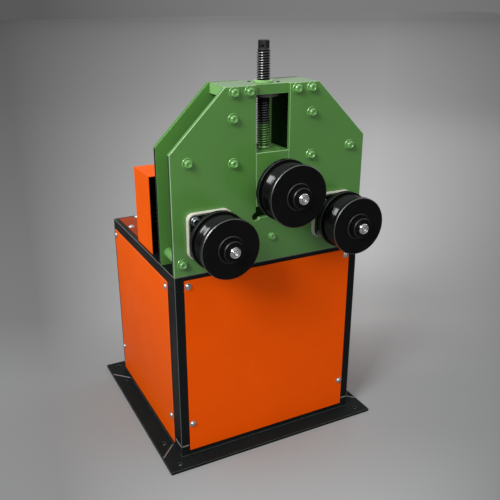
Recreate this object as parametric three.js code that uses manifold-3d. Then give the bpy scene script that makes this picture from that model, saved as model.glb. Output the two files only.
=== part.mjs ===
// Ring roller: three bending rollers on a plated head, on a sheet-clad angle-iron stand.
// Millimetres, +Z up. X runs across the machine, the rollers look towards -Y.
// Inside the file, y = 0 is the front face of the stand, x = 0 its middle and z = 0 the floor.
// The whole machine is moved along Y at the end, so that the origin is under the middle of its box.
import * as THREE from "three";
import { mergeVertices } from "three/addons/utils/BufferGeometryUtils.js";
import Module from "manifold-3d";

const wasm = await Module();
wasm.setup();

// Clearances between neighbours
const seatGap = 0.3;
const runGap = 0.5;
const boltPlay = 0.5;
const slipGap = 0.4;

// How far a cut or a joined piece reaches past the face it goes through
const past = 1;

// Stand: angle-iron cabinet on an outward base flange
const standWidth = 550;
const standDepth = 520;
const standHeight = 550;
const angleLeg = 40;
const angleWall = 5;
const postSideLeg = 70;
const baseFlangeWidth = 50;
const baseFlangeThick = 8;
const baseMitreSetback = 16;
const anchorHoleRadius = 7;
const cornerAnchorInset = 33;
const sideAnchorBack = 78;
const sheetThick = 2;
const frontPanelSideMargin = 25;
const frontPanelTopMargin = 12;
const sidePanelFrontMargin = 50;
const sidePanelRearMargin = 15;
const sidePanelTopMargin = 29;
const panelBottom = 24;
const panelScrewInset = 10;
const panelScrewHigh = 16;
const panelScrewLow = 85;
const screwShankRadius = 2.6;
const screwGrip = 8;
const sideScrewInset = 12;
const coverMargin = 13;
const coverScrewY = 415;
const coverScrewX = 207;

// Shelf and gearmotor inside the stand
const shelfThick = 6;
const shelfFront = 236;
const shelfLip = 40;
const gearboxSetback = 4;
const gearboxNeck = 96;
const gearboxBossRise = 8;
const gearboxBossRadius = 38;
const gearboxRadius = 72;
const gearboxLength = 84;
const gearboxFootHeight = 88;
const motorRadius = 66;
const motorRearRoom = 45;
const motorFinCount = 12;
const motorFinHeight = 5;
const motorFinThick = 3;
const fanCowlLength = 34;
const cowlStep = 2;
const footWidth = 190;
const footThick = 12;
const footBoltSpread = 76;
const footBoltInset = 22;
const footBoltRadius = 5;
const terminalBoxRise = 34;
const terminalBoxInset = 20;
const terminalBoxWidth = 70;

// Head plates
const plateThick = 12;
const plateGap = 82;
const plateHeight = 455;
const plateCornerCut = 145;
const slotWidth = 94;
const slotFloorHeight = 123;
const slotReliefRadius = 11;
const slotReliefRise = 3.7;
const crossbarHeight = 25;
const crossbarHalfLength = 128;

// Tie bolts: in from the plates' sides or out from the slot, up from their foot or down from their top
const footTieInset = 23;
const footTieRise = 33;
const shoulderTieInset = 45;
const shoulderTieBelowCut = 24.5;
const slotTieOut = 63;
const slotTieRise = 149;
const upperTieDrop = 75;
const boltRadius = 6;
const boltHeadFlats = 19;
const boltHeadHeight = 8;
const washerRadius = 13.5;
const washerThick = 2.5;
const nutHeight = 10;
const boltTail = 3;
const plateShaftClear = 4;
const spacerTubeRadius = 12;

// Lower and top roller places
const lowerAxisX = 180;
const lowerAxisHeight = 105;
const topAxisHeight = 208;
const shaftRadius = 20;
const rollerStandOff = 56;
const lowerRollerRadius = 75;
const topRollerRadius = 77.5;
const rollerRearFlange = 13;
const rollerNeck = 4;
const rollerDrum = 46;
const rollerFrontFlange = 12;
const rollerDrumDrop = 5.5;
const rollerNeckDrop = 10;
const rollerChamfer = 1.5;
const rollerBossRadius = 32;
const rollerBossHeight = 1.5;
const rollerNutRadius = 26;
const rollerNutThick = 15;
const shaftNoseRadius = 14;
const shaftNoseLength = 8;
const shaftCollarRadius = 27;
const topCollarRadius = 30;
const topShaftTail = 14;
const lockRingInset = 2;
const shaftTail = 6;

// Flange bearings
const bearingSquare = 118;
const bearingCorner = 18;
const bearingPadThick = 14;
const bearingFlangeThick = 10;
const bearingInset = 1.5;
const bearingHubRadius = 44;
const bearingHubNose = 34;
const bearingHubLength = 22;
const bearingHubStep = 6;

// Gear train
const gearModule = 4;
const driveTeeth = 56;
const rollerTeeth = 36;
const pinionTeeth = 20;
const gearFace = 25;
const gearBehindPlate = 84;
const gearHubRadius = 34;
const gearHubLength = 40;
const gearBacklash = 0.7;
const pressureAngle = 20;
const toothDedendum = 1.25;
const axleRadius = 17.5;
const axleBushWall = 5;
const axleCollarRadius = 24;
const axleCollarLength = 30;
const axleTail = 7;
const axleBoltRadius = 5;
const axleBoltFlats = 17;
const axleBoltHeight = 6.5;
const axleWasherRadius = 10.5;
const axleWasherThick = 2;
const pinionShaftRadius = 14;
const pinionShaftGrip = 30;

// Gear guard
const guardHalfWidth = 268.5;
const guardFront = 178;
const guardDepth = 119;
const guardHeight = 216;
const guardFoot = 16;

// Carriage and lead screw
const carriageFloorGap = 30;
const carriageHeight = 138;
const carriageShoulder = 20;
const carriageShoulderInset = 24;
const bushWall = 11;
const keeperSquare = 58;
const keeperThick = 8;
const screwRadius = 17;
const screwGrooveRadius = 12;
const screwFootLength = 24;
const screwTopRadius = 14;
const screwTopLength = 21;
const screwAboveCrossbar = 99;
const crossHoleRadius = 3.5;
const nutBossRadius = 24.5;
const nutBossRise = 5;
const nutFlangeRadius = 38;
const nutFlangeThick = 8;

// Facets round a piece, by its size
const largeSides = 28;
const midSides = 18;
const lowSides = 12;
const smallSides = 8;
const straightFlankTeeth = 30;

// Worked-out places
const plateFoot = standHeight + seatGap;
const plateTop = plateFoot + plateHeight;
const rearPlateFront = plateThick + plateGap;
const rearPlateBack = rearPlateFront + plateThick;
const headMiddle = plateThick + plateGap / 2;
const slotFloor = plateFoot + slotFloorHeight;
const lowerAxisZ = plateFoot + lowerAxisHeight;
const topAxisZ = plateFoot + topAxisHeight;
const crossbarBottom = plateTop - crossbarHeight;
const rollerWidth = rollerRearFlange + rollerNeck + rollerDrum + rollerFrontFlange;
const rollerFront = -(rollerStandOff + rollerWidth);
const shaftShoulder = rollerFront - rollerBossHeight - seatGap - rollerNutThick;
const shaftNose = shaftShoulder - shaftNoseLength;
const driveRadius = (gearModule * driveTeeth) / 2;
const rollerGearRadius = (gearModule * rollerTeeth) / 2;
const pinionRadius = (gearModule * pinionTeeth) / 2;
const gearReach = driveRadius + rollerGearRadius;
const driveAxisZ = lowerAxisZ - Math.sqrt(gearReach ** 2 - lowerAxisX ** 2);
const motorAxisZ = driveAxisZ - driveRadius - pinionRadius;
const tiePlaces = [
  ["foot", standWidth / 2 - footTieInset, plateFoot + footTieRise],
  ["shoulder", standWidth / 2 - shoulderTieInset, plateTop - plateCornerCut - shoulderTieBelowCut],
  ["slot", slotWidth / 2 + slotTieOut, slotFloor + slotTieRise],
  ["upper", slotWidth / 2 + slotTieOut, plateTop - upperTieDrop],
];
const gearFront = rearPlateBack + gearBehindPlate;
const gearBack = gearFront + gearFace;
const shelfTop = motorAxisZ - gearboxFootHeight - seatGap;
const carriageBottom = slotFloor + carriageFloorGap;
const carriageTop = carriageBottom + carriageHeight;
const carriageHalf = slotWidth / 2 - runGap;
const screwTop = plateTop + screwAboveCrossbar;
const rearFlangeBack = standDepth + baseFlangeWidth;

// Paints and metals
function paint(color, roughness, metalness) {
  return new THREE.MeshStandardMaterial({ color, roughness, metalness });
}
const finishes = {
  green: () => paint(0x4c7c3c, 0.45, 0.1),
  orange: () => paint(0xd04e00, 0.5, 0.0),
  black: () => paint(0x1a1a1c, 0.5, 0.1),
  gloss: () => paint(0x101012, 0.2, 0.2),
  steel: () => paint(0x9a9c9e, 0.35, 0.9),
  darkSteel: () => paint(0x3a3a3c, 0.4, 0.8),
  pale: () => paint(0xd8d6c8, 0.5, 0.3),
  bronze: () => paint(0xa07840, 0.4, 0.9),
  motorBlue: () => paint(0x46525c, 0.55, 0.2),
};

// Closed three.js geometry to a solid: shared vertices merged, flat triangles dropped, faces outward
function solid(geometry) {
  const bare = geometry.index ? geometry.toNonIndexed() : geometry.clone();
  bare.deleteAttribute("normal");
  bare.deleteAttribute("uv");
  const merged = mergeVertices(bare, 1e-4);
  const place = merged.attributes.position;
  const triangles = [];
  let volume = 0;
  const corner = [new THREE.Vector3(), new THREE.Vector3(), new THREE.Vector3()];
  for (let start = 0; start < merged.index.count; start += 3) {
    const [a, b, c] = [0, 1, 2].map((step) => merged.index.getX(start + step));
    if (a === b || b === c || a === c) continue;
    [a, b, c].forEach((vertex, step) => corner[step].fromBufferAttribute(place, vertex));
    volume += corner[0].dot(corner[1].clone().cross(corner[2]));
    triangles.push(a, b, c);
  }
  if (volume < 0) triangles.reverse();
  return new wasm.Manifold(
    new wasm.Mesh({
      numProp: 3,
      vertProperties: new Float32Array(place.array),
      triVerts: new Uint32Array(triangles),
    })
  );
}

function join(solids) {
  return solids.reduce((whole, next) => whole.add(next));
}

function cut(body, tools) {
  return tools.reduce((left, tool) => left.subtract(tool), body);
}

function box(x0, x1, y0, y1, z0, z1) {
  const block = new THREE.BoxGeometry(x1 - x0, y1 - y0, z1 - z0);
  block.translate((x0 + x1) / 2, (y0 + y1) / 2, (z0 + z1) / 2);
  return solid(block);
}

// Round bar along Y, X or Z
function rodY(radius, y0, y1, x, z, facets = midSides) {
  const rod = new THREE.CylinderGeometry(radius, radius, y1 - y0, facets);
  rod.translate(x, (y0 + y1) / 2, z);
  return solid(rod);
}

function rodX(radius, x0, x1, y, z, facets = smallSides) {
  const rod = new THREE.CylinderGeometry(radius, radius, x1 - x0, facets);
  rod.rotateZ(Math.PI / 2);
  rod.translate((x0 + x1) / 2, y, z);
  return solid(rod);
}

function rodZ(radius, z0, z1, x, y, facets = midSides) {
  const rod = new THREE.CylinderGeometry(radius, radius, z1 - z0, facets);
  rod.rotateX(Math.PI / 2);
  rod.translate(x, y, (z0 + z1) / 2);
  return solid(rod);
}

// Turned part about Y; the profile's points are [radius, y]
function turnedY(profile, x, z, facets = midSides) {
  const points = profile.map(([radius, y]) => new THREE.Vector2(radius, y));
  const lathe = new THREE.LatheGeometry(points, facets);
  lathe.translate(x, 0, z);
  return solid(lathe);
}

function turnedZ(profile, x, y, facets = midSides) {
  const points = profile.map(([radius, z]) => new THREE.Vector2(radius, z));
  const lathe = new THREE.LatheGeometry(points, facets);
  lathe.rotateX(Math.PI / 2);
  lathe.translate(x, y, 0);
  return solid(lathe);
}

// Upright plate: the shape's x and y become X and Z, and the plate fills y0 to y1
function upright(shape, y0, y1, curveSegments = 5) {
  const slab = new THREE.ExtrudeGeometry(shape, {
    depth: y1 - y0,
    bevelEnabled: false,
    curveSegments,
  });
  slab.rotateX(Math.PI / 2);
  slab.translate(0, y1, 0);
  return solid(slab);
}

// Flat plate: the shape's x and y are X and Y, and the plate fills z0 to z1
function level(shape, z0, z1) {
  const slab = new THREE.ExtrudeGeometry(shape, { depth: z1 - z0, bevelEnabled: false });
  slab.translate(0, 0, z0);
  return solid(slab);
}

function polygon(points) {
  return new THREE.Shape(points.map(([x, y]) => new THREE.Vector2(x, y)));
}

// Hexagon head or nut along Y, flats across the given size
function hexY(flats, y0, y1, x, z) {
  return rodY(flats / Math.sqrt(3), y0, y1, x, z, 6);
}

// A straight bar of one section whose ends are cut at 45 degrees, laid round the stand's top.
// The section's points are [inward, up]; the bar lies along X at y = 0 before it is turned.
function mitredBar(section, length) {
  const bar = new THREE.ExtrudeGeometry(polygon(section), { depth: 1, bevelEnabled: false });
  const place = bar.attributes.position;
  for (let index = 0; index < place.count; index += 1) {
    const inward = place.getX(index);
    const up = place.getY(index);
    const side = place.getZ(index) > 0.5 ? 1 : -1;
    place.setXYZ(index, side * (length / 2 - inward - seatGap / 2), inward, up);
  }
  return solid(bar);
}

const machine = new THREE.Group();
machine.position.y = -(rearFlangeBack + shaftNose) / 2;

function add(name, body, finish, parent = machine) {
  const raw = body.getMesh();
  const geometry = new THREE.BufferGeometry();
  geometry.setAttribute("position", new THREE.BufferAttribute(raw.vertProperties, 3));
  geometry.setIndex(new THREE.BufferAttribute(raw.triVerts, 1));
  geometry.computeVertexNormals();
  const mesh = new THREE.Mesh(geometry, finishes[finish]());
  mesh.name = name;
  parent.add(mesh);
  return mesh;
}

const sides = [
  { word: "left", sign: -1 },
  { word: "right", sign: 1 },
];

// Where the sheets are screwed on: each place is [direction, x, y, z] on the sheet's outer face
const half = standWidth / 2;
const panelHalf = half - frontPanelSideMargin;
const panelTop = standHeight - frontPanelTopMargin;
const sidePanelTop = standHeight - sidePanelTopMargin;
const sidePanelRear = standDepth - sidePanelRearMargin;
const sheetOut = seatGap + sheetThick;
const coverHalf = half - coverMargin;
const coverFront = guardFront + guardDepth + seatGap;
const coverRear = standDepth - coverMargin;

function panelScrewPlaces() {
  const places = [];
  const screwX = panelHalf - panelScrewInset;
  const low = panelBottom + panelScrewLow;
  for (const { sign } of sides) {
    for (const z of [panelTop - panelScrewHigh, low]) {
      places.push([[0, -1, 0], sign * screwX, -sheetOut, z]);
      places.push([[0, 1, 0], sign * screwX, standDepth + sheetOut, z]);
    }
    for (const z of [sidePanelTop - panelScrewHigh, low]) {
      for (const y of [sidePanelFrontMargin + sideScrewInset, sidePanelRear - panelScrewInset]) {
        places.push([[sign, 0, 0], sign * (half + sheetOut), y, z]);
      }
    }
    places.push([[0, 0, 1], sign * (coverHalf - panelScrewInset), coverScrewY, standHeight + sheetOut]);
    places.push([[0, 0, 1], sign * coverScrewX, coverRear - panelScrewInset, standHeight + sheetOut]);
  }
  return places;
}

const screwPlaces = panelScrewPlaces();
const screwHoles = screwPlaces.map(([[dx, dy], x, y, z]) => {
  const radius = screwShankRadius + boltPlay;
  const reach = screwGrip + sheetThick;
  if (dx) return rodX(radius, x - reach, x + reach, y, z);
  if (dy) return rodY(radius, y - reach, y + reach, x, z, smallSides);
  return rodZ(radius, z - reach, z + reach, x, y, smallSides);
});

// Base flange: front and rear bars carry the corners, side bars end in a 45 degree cut
function makeBase() {
  const outer = half + baseFlangeWidth;
  const inner = baseMitreSetback + baseFlangeWidth;
  const wall = (x0, x1, y0, y1) => box(x0, x1, y0, y1, 0, angleLeg);
  const anchor = (x, y) => rodZ(anchorHoleRadius, -past, baseFlangeThick + past, x, y, smallSides);
  const anchorX = half + cornerAnchorInset / 2;
  const anchorOut = baseFlangeWidth / 2;
  const endBar = (mirror) => {
    const at = (y) => (mirror ? standDepth - y : y);
    const flange = level(
      polygon([
        [-outer, at(-baseFlangeWidth)],
        [outer, at(-baseFlangeWidth)],
        [outer, at(baseMitreSetback)],
        [half + seatGap, at(inner)],
        [half + seatGap, at(angleWall)],
        [-half - seatGap, at(angleWall)],
        [-half - seatGap, at(inner)],
        [-outer, at(baseMitreSetback)],
      ]),
      0,
      baseFlangeThick
    );
    const [near, far] = [at(0), at(angleWall)].sort((a, b) => a - b);
    const holes = [-anchorX, anchorX].map((x) => anchor(x, at(-anchorOut)));
    return cut(join([flange, wall(-half, half, near, far)]), holes);
  };
  const sideBar = (sign) => {
    const frontOuter = baseMitreSetback + seatGap;
    const frontInner = inner + seatGap;
    const flange = level(
      polygon([
        [sign * outer, frontOuter],
        [sign * outer, standDepth - frontOuter],
        [sign * (half + seatGap), standDepth - frontInner],
        [sign * (half - angleWall), standDepth - frontInner],
        [sign * (half - angleWall), frontInner],
        [sign * (half + seatGap), frontInner],
      ]),
      0,
      baseFlangeThick
    );
    const [near, far] = [sign * half, sign * (half - angleWall)].sort((a, b) => a - b);
    const leg = wall(near, far, angleWall + seatGap, standDepth - angleWall - seatGap);
    const holes = [sideAnchorBack, standDepth - sideAnchorBack].map((y) =>
      anchor(sign * (half + anchorOut), y)
    );
    return cut(join([flange, leg]), holes);
  };
  add("base_rail_front", endBar(false), "black");
  add("base_rail_rear", endBar(true), "black");
  for (const { word, sign } of sides) add(`base_rail_${word}`, sideBar(sign), "black");
}

// Corner posts: plain angles between the base legs and the top frame
function makePosts() {
  const low = angleLeg + seatGap;
  const high = standHeight - angleLeg - seatGap;
  for (const { word, sign } of sides) {
    for (const [end, at] of [["front", (y) => y], ["rear", (y) => standDepth - y]]) {
      const section = polygon([
        [sign * half, at(0)],
        [sign * half, at(postSideLeg)],
        [sign * (half - angleWall), at(postSideLeg)],
        [sign * (half - angleWall), at(angleWall)],
        [sign * (half - angleLeg), at(angleWall)],
        [sign * (half - angleLeg), at(0)],
      ]);
      add(`post_${end}_${word}`, level(section, low, high), "black");
    }
  }
}

// Top frame: four mitred angles, one leg down the outside and one leg lying inward
function makeTopFrame() {
  const section = [
    [0, -angleLeg],
    [angleWall, -angleLeg],
    [angleWall, -angleWall],
    [angleLeg, -angleWall],
    [angleLeg, 0],
    [0, 0],
  ];
  const front = mitredBar(section, standWidth);
  const rear = mitredBar(section, standWidth).rotate([0, 0, 180]);
  const side = mitredBar(section, standDepth);
  const left = side.rotate([0, 0, -90]);
  const right = side.rotate([0, 0, 90]);
  const rail = (word, bar, x, y) =>
    add(`top_rail_${word}`, bar.translate([x, y, standHeight]), "black");
  rail("front", front, 0, 0);
  rail("rear", rear, 0, standDepth);
  rail("left", left, -half, standDepth / 2);
  rail("right", right, half, standDepth / 2);
  const reach = half - angleLeg - seatGap;
  const flatBar = (middle) =>
    box(-reach, reach, middle - angleLeg / 2, middle + angleLeg / 2, standHeight - angleWall, standHeight);
  const headBar = rearPlateFront + plateThick / 2;
  const rib = box(-reach, reach, headBar - angleWall / 2, headBar + angleWall / 2,
    standHeight - angleLeg, standHeight - angleWall + past);
  add("head_support_bar", flatBar(headBar).add(rib), "black");
  add("guard_support_bar", flatBar(guardFront + guardDepth), "black");
}

// Sheet panels screwed on the outside of the frame, with the cover behind the guard
function makePanels() {
  const sheet = (...size) => cut(box(...size), screwHoles);
  const nearY = standDepth + seatGap;
  const farY = standDepth + sheetOut;
  add("front_panel", sheet(-panelHalf, panelHalf, -sheetOut, -seatGap, panelBottom, panelTop), "orange");
  add("rear_panel", sheet(-panelHalf, panelHalf, nearY, farY, panelBottom, panelTop), "orange");
  for (const { word, sign } of sides) {
    const [near, far] = [sign * (half + seatGap), sign * (half + sheetOut)].sort((a, b) => a - b);
    const panel = sheet(near, far, sidePanelFrontMargin, sidePanelRear, panelBottom, sidePanelTop);
    add(`${word}_panel`, panel, "orange");
  }
  const coverTop = standHeight + sheetOut;
  const cover = sheet(-coverHalf, coverHalf, coverFront, coverRear, standHeight + seatGap, coverTop);
  add("top_cover", cover, "orange");
}

// Head plates with the carriage slot, their bolt holes and the shaft holes
function makeHeadPlates() {
  const slotHalf = slotWidth / 2;
  const topHalf = half - plateCornerCut;
  const outline = polygon([
    [-half, plateFoot],
    [half, plateFoot],
    [half, plateTop - plateCornerCut],
    [topHalf, plateTop],
    [slotHalf, plateTop],
    [slotHalf, slotFloor],
    [-slotHalf, slotFloor],
    [-slotHalf, plateTop],
    [-topHalf, plateTop],
    [-half, plateTop - plateCornerCut],
  ]);
  const plate = (y0, y1, axleHole) => {
    const through = (radius, x, z, facets) => rodY(radius, y0 - past, y1 + past, x, z, facets);
    const boltHoles = tiePlaces.flatMap(([, x, z]) =>
      [-x, x].map((place) => through(boltRadius + boltPlay, place, z, smallSides))
    );
    const reliefs = [-1, 1].map((side) =>
      through(slotReliefRadius, side * slotHalf, slotFloor + slotReliefRise, lowSides)
    );
    const shaftHoles = sides.map(({ sign }) =>
      through(shaftRadius + plateShaftClear, sign * lowerAxisX, lowerAxisZ)
    );
    const centre = through(axleHole, 0, driveAxisZ);
    return cut(upright(outline, y0, y1), [...boltHoles, ...reliefs, ...shaftHoles, centre]);
  };
  add("front_head_plate", plate(0, plateThick, axleBoltRadius + boltPlay), "green");
  add("rear_head_plate", plate(rearPlateFront, rearPlateBack, axleRadius + boltPlay), "green");
}

// Crossbar over the slot, bolted between the plates, with the flanged lead nut under it
function makeCrossbar() {
  const y0 = plateThick + seatGap;
  const y1 = rearPlateFront - seatGap;
  const bar = box(-crossbarHalfLength, crossbarHalfLength, y0, y1, crossbarBottom, plateTop);
  const nutHole = rodZ(nutBossRadius + boltPlay, crossbarBottom - past, plateTop + past, 0, headMiddle);
  const flangeTop = crossbarBottom - seatGap;
  const flangeBottom = flangeTop - nutFlangeThick;
  add("crossbar", bar.subtract(nutHole), "green");
  const bore = screwRadius + runGap;
  const nut = turnedZ(
    [
      [bore, flangeBottom],
      [nutFlangeRadius, flangeBottom],
      [nutFlangeRadius, flangeTop],
      [nutBossRadius, flangeTop],
      [nutBossRadius, plateTop + nutBossRise - rollerChamfer],
      [nutBossRadius - rollerChamfer, plateTop + nutBossRise],
      [bore, plateTop + nutBossRise],
      [bore, flangeBottom],
    ],
    0,
    headMiddle
  );
  add("lead_nut", nut, "green");
}

// Tie between the plates, in one piece: through bolt with its head, washers, spacer tube and nut
function makeTies() {
  const washerFront = -seatGap - washerThick;
  const washerRear = rearPlateBack + seatGap;
  const nutFoot = washerRear + washerThick;
  for (const [name, x, z] of tiePlaces) {
    for (const { word, sign } of sides) {
      const turned = turnedY(
        [
          [0, washerFront],
          [washerRadius, washerFront],
          [washerRadius, -seatGap],
          [boltRadius, -seatGap],
          [boltRadius, plateThick + seatGap],
          [spacerTubeRadius, plateThick + seatGap],
          [spacerTubeRadius, rearPlateFront - seatGap],
          [boltRadius, rearPlateFront - seatGap],
          [boltRadius, washerRear],
          [washerRadius, washerRear],
          [washerRadius, nutFoot],
          [boltRadius, nutFoot],
          [boltRadius, nutFoot + nutHeight + boltTail],
          [0, nutFoot + nutHeight + boltTail],
        ],
        sign * x,
        z,
        smallSides
      );
      const head = hexY(boltHeadFlats, washerFront - boltHeadHeight, washerFront, sign * x, z);
      const nut = hexY(boltHeadFlats, nutFoot, nutFoot + nutHeight, sign * x, z);
      add(`${name}_tie_${word}`, join([turned, head, nut]), "green");
    }
  }
}

// Flange bearings of the two lower shafts: pale pads and black housings, front and rear
function roundedSquare(size, corner) {
  const edge = size / 2;
  const shape = new THREE.Shape();
  shape.moveTo(edge, -edge + corner);
  shape.lineTo(edge, edge - corner);
  shape.absarc(edge - corner, edge - corner, corner, 0, Math.PI / 2, false);
  shape.lineTo(-edge + corner, edge);
  shape.absarc(-edge + corner, edge - corner, corner, Math.PI / 2, Math.PI, false);
  shape.lineTo(-edge, -edge + corner);
  shape.absarc(-edge + corner, -edge + corner, corner, Math.PI, Math.PI * 1.5, false);
  shape.lineTo(edge - corner, -edge);
  shape.absarc(edge - corner, -edge + corner, corner, Math.PI * 1.5, Math.PI * 2, false);
  return shape;
}

function makeBearings() {
  const padBack = -seatGap;
  const padFront = padBack - bearingPadThick;
  const bore = shaftRadius + runGap;
  const housing = (x, foot, way) => {
    const flangeTop = foot + way * bearingFlangeThick;
    const nose = flangeTop + way * bearingHubLength;
    const flange = upright(
      roundedSquare(bearingSquare - 2 * bearingInset, bearingCorner),
      Math.min(foot, flangeTop),
      Math.max(foot, flangeTop)
    ).translate([x, 0, lowerAxisZ]);
    const hub = turnedY(
      [
        [0, foot + way],
        [bearingHubRadius, foot + way],
        [bearingHubRadius, flangeTop + way * bearingHubStep],
        [bearingHubNose, nose],
        [0, nose],
      ],
      x,
      lowerAxisZ
    );
    const shaftBore = rodY(bore, Math.min(foot, nose) - past, Math.max(foot, nose) + past, x, lowerAxisZ);
    return join([flange, hub]).subtract(shaftBore);
  };
  const frontFoot = padFront - seatGap;
  const rearFoot = rearPlateBack + seatGap;
  for (const { word, sign } of sides) {
    const x = sign * lowerAxisX;
    const pad = upright(roundedSquare(bearingSquare, bearingCorner), padFront, padBack);
    const padHole = rodY(shaftRadius + plateShaftClear, padFront - past, 0, x, lowerAxisZ);
    add(`${word}_bearing_pad`, pad.translate([x, 0, lowerAxisZ]).subtract(padHole), "pale");
    add(`${word}_front_bearing`, housing(x, frontFoot, -1), "black");
    add(`${word}_rear_bearing`, housing(x, rearFoot, 1), "black");
  }
}

// Bending roller: two flanges with a drum and a narrow neck between them, bored for its shaft
function rollerBody(x, z, radius) {
  const back = -rollerStandOff;
  const bore = shaftRadius + slipGap;
  const drum = radius - rollerDrumDrop;
  const neck = radius - rollerNeckDrop;
  const rearEdge = back - rollerRearFlange;
  const neckEdge = rearEdge - rollerNeck;
  const frontEdge = rollerFront + rollerFrontFlange;
  return turnedY(
    [
      [bore, back],
      [radius - rollerChamfer, back],
      [radius, back - rollerChamfer],
      [radius, rearEdge],
      [neck, rearEdge],
      [neck, neckEdge],
      [drum, neckEdge],
      [drum, frontEdge],
      [radius, frontEdge],
      [radius, rollerFront + rollerChamfer],
      [radius - rollerChamfer, rollerFront],
      [rollerBossRadius, rollerFront],
      [rollerBossRadius, rollerFront - rollerBossHeight],
      [bore, rollerFront - rollerBossHeight],
      [bore, back],
    ],
    x,
    z,
    largeSides
  );
}

function rollerNut(x, z) {
  const back = rollerFront - rollerBossHeight - seatGap;
  const bore = shaftNoseRadius + slipGap;
  return turnedY(
    [
      [bore, back],
      [rollerNutRadius, back],
      [rollerNutRadius, shaftShoulder + rollerChamfer],
      [rollerNutRadius - rollerChamfer, shaftShoulder],
      [bore, shaftShoulder],
      [bore, back],
    ],
    x,
    z
  );
}

// Shaft with its nose, a collar behind the roller, and a plain stretch to its rear end
function shaftBody(x, z, collarRadius, collarBack, rear) {
  const collarFront = -rollerStandOff + seatGap;
  const step = rollerFront + rollerChamfer;
  return turnedY(
    [
      [0, shaftNose],
      [shaftNoseRadius - rollerChamfer, shaftNose],
      [shaftNoseRadius, shaftNose + rollerChamfer],
      [shaftNoseRadius, step],
      [shaftRadius, step],
      [shaftRadius, collarFront],
      [collarRadius, collarFront],
      [collarRadius, collarBack],
      [shaftRadius, collarBack],
      [shaftRadius, rear - rollerChamfer],
      [shaftRadius - rollerChamfer, rear],
      [0, rear],
    ],
    x,
    z
  );
}

// Involute gear outline in X and Z, as points round the centre
function gearShape(teeth, phase) {
  const pitch = (gearModule * teeth) / 2;
  const tip = pitch + gearModule;
  const root = pitch - toothDedendum * gearModule;
  const pressure = (pressureAngle * Math.PI) / 180;
  const base = pitch * Math.cos(pressure);
  const involute = (angle) => Math.tan(angle) - angle;
  const halfTooth = Math.PI / (2 * teeth) - gearBacklash / (4 * pitch);
  const halfAngle = (radius) => {
    const flank = Math.acos(Math.min(1, base / radius));
    return halfTooth + involute(pressure) - involute(flank);
  };
  const radii = teeth < straightFlankTeeth ? [root, pitch, tip] : [root, tip];
  const points = [];
  for (let tooth = 0; tooth < teeth; tooth += 1) {
    const middle = phase + (tooth * 2 * Math.PI) / teeth;
    for (const radius of radii) points.push([radius, middle - halfAngle(radius)]);
    for (const radius of [...radii].reverse()) points.push([radius, middle + halfAngle(radius)]);
  }
  return polygon(
    points.map(([radius, angle]) => [radius * Math.cos(angle), radius * Math.sin(angle)])
  );
}

// Phase of a gear that meshes with another across the given direction, tooth to gap
function meshPhase(teeth, phase, direction, otherTeeth) {
  const step = (2 * Math.PI) / teeth;
  const offset = phase - direction - Math.round((phase - direction) / step) * step;
  const gap = direction + Math.PI - (offset * teeth) / otherTeeth;
  return gap + Math.PI / otherTeeth;
}

function gearBody(teeth, phase, x, z, boreRadius, hubRadius) {
  const wheel = upright(gearShape(teeth, phase), gearFront, gearBack);
  const hubFront = gearBack - gearHubLength;
  const hub = rodY(hubRadius, hubFront, gearFront + past, 0, 0);
  const bore = rodY(boreRadius, hubFront - past, gearBack + past, 0, 0);
  return wheel.add(hub).subtract(bore).translate([x, 0, z]);
}

// The two driven lower roller shafts
function makeLowerShafts() {
  const collarBack = -bearingPadThick - bearingFlangeThick - bearingHubLength - 3 * seatGap - runGap;
  for (const { word, sign } of sides) {
    const x = sign * lowerAxisX;
    const direction = Math.atan2(lowerAxisZ - driveAxisZ, x);
    const phase = meshPhase(driveTeeth, 0, direction, rollerTeeth);
    const group = new THREE.Group();
    machine.add(group);
    const rear = gearBack + shaftTail;
    add(`${word}_shaft`, shaftBody(x, lowerAxisZ, shaftCollarRadius, collarBack, rear), "steel", group);
    add(`${word}_roller`, rollerBody(x, lowerAxisZ, lowerRollerRadius), "gloss", group);
    add(`${word}_roller_nut`, rollerNut(x, lowerAxisZ), "gloss", group);
    const gear = gearBody(rollerTeeth, phase, x, lowerAxisZ, shaftRadius + boltPlay, gearHubRadius);
    add(`${word}_gear`, gear, "darkSteel", group);
  }
}

// Idler that drives both lower gears, on a dead axle held between the plates
function makeDrive() {
  const axleFront = plateThick + seatGap;
  const axleEnd = gearBack + axleTail;
  const collarBack = rearPlateBack + seatGap + axleCollarLength;
  const axle = turnedY(
    [
      [0, axleFront],
      [axleRadius, axleFront],
      [axleRadius, rearPlateBack + seatGap],
      [axleCollarRadius, rearPlateBack + seatGap],
      [axleCollarRadius, collarBack],
      [axleRadius, collarBack],
      [axleRadius, axleEnd],
      [0, axleEnd],
    ],
    0,
    driveAxisZ
  );
  const headBack = -seatGap - axleWasherThick;
  const endFace = axleEnd + washerThick;
  const bolted = join([
    axle,
    rodY(axleBoltRadius, headBack, axleFront, 0, driveAxisZ, smallSides),
    rodY(axleWasherRadius, headBack, -seatGap, 0, driveAxisZ, lowSides),
    hexY(axleBoltFlats, headBack - axleBoltHeight, headBack, 0, driveAxisZ),
    rodY(axleCollarRadius, axleEnd, endFace, 0, driveAxisZ),
    hexY(axleBoltFlats, endFace, endFace + axleBoltHeight, 0, driveAxisZ),
  ]);
  add("gear_axle", bolted, "steel");
  const bushInner = axleRadius + runGap;
  const bushOuter = bushInner + axleBushWall;
  const hubFront = gearBack - gearHubLength;
  const hubRadius = gearHubRadius + axleBushWall;
  const gear = gearBody(driveTeeth, 0, 0, driveAxisZ, bushOuter + boltPlay, hubRadius);
  const group = new THREE.Group();
  machine.add(group);
  add("drive_gear", gear, "darkSteel", group);
  const bush = rodY(bushOuter, hubFront, gearBack, 0, driveAxisZ);
  const bushBore = rodY(bushInner, hubFront - past, gearBack + past, 0, driveAxisZ);
  add("gear_bush", bush.subtract(bushBore), "bronze", group);
}

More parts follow.
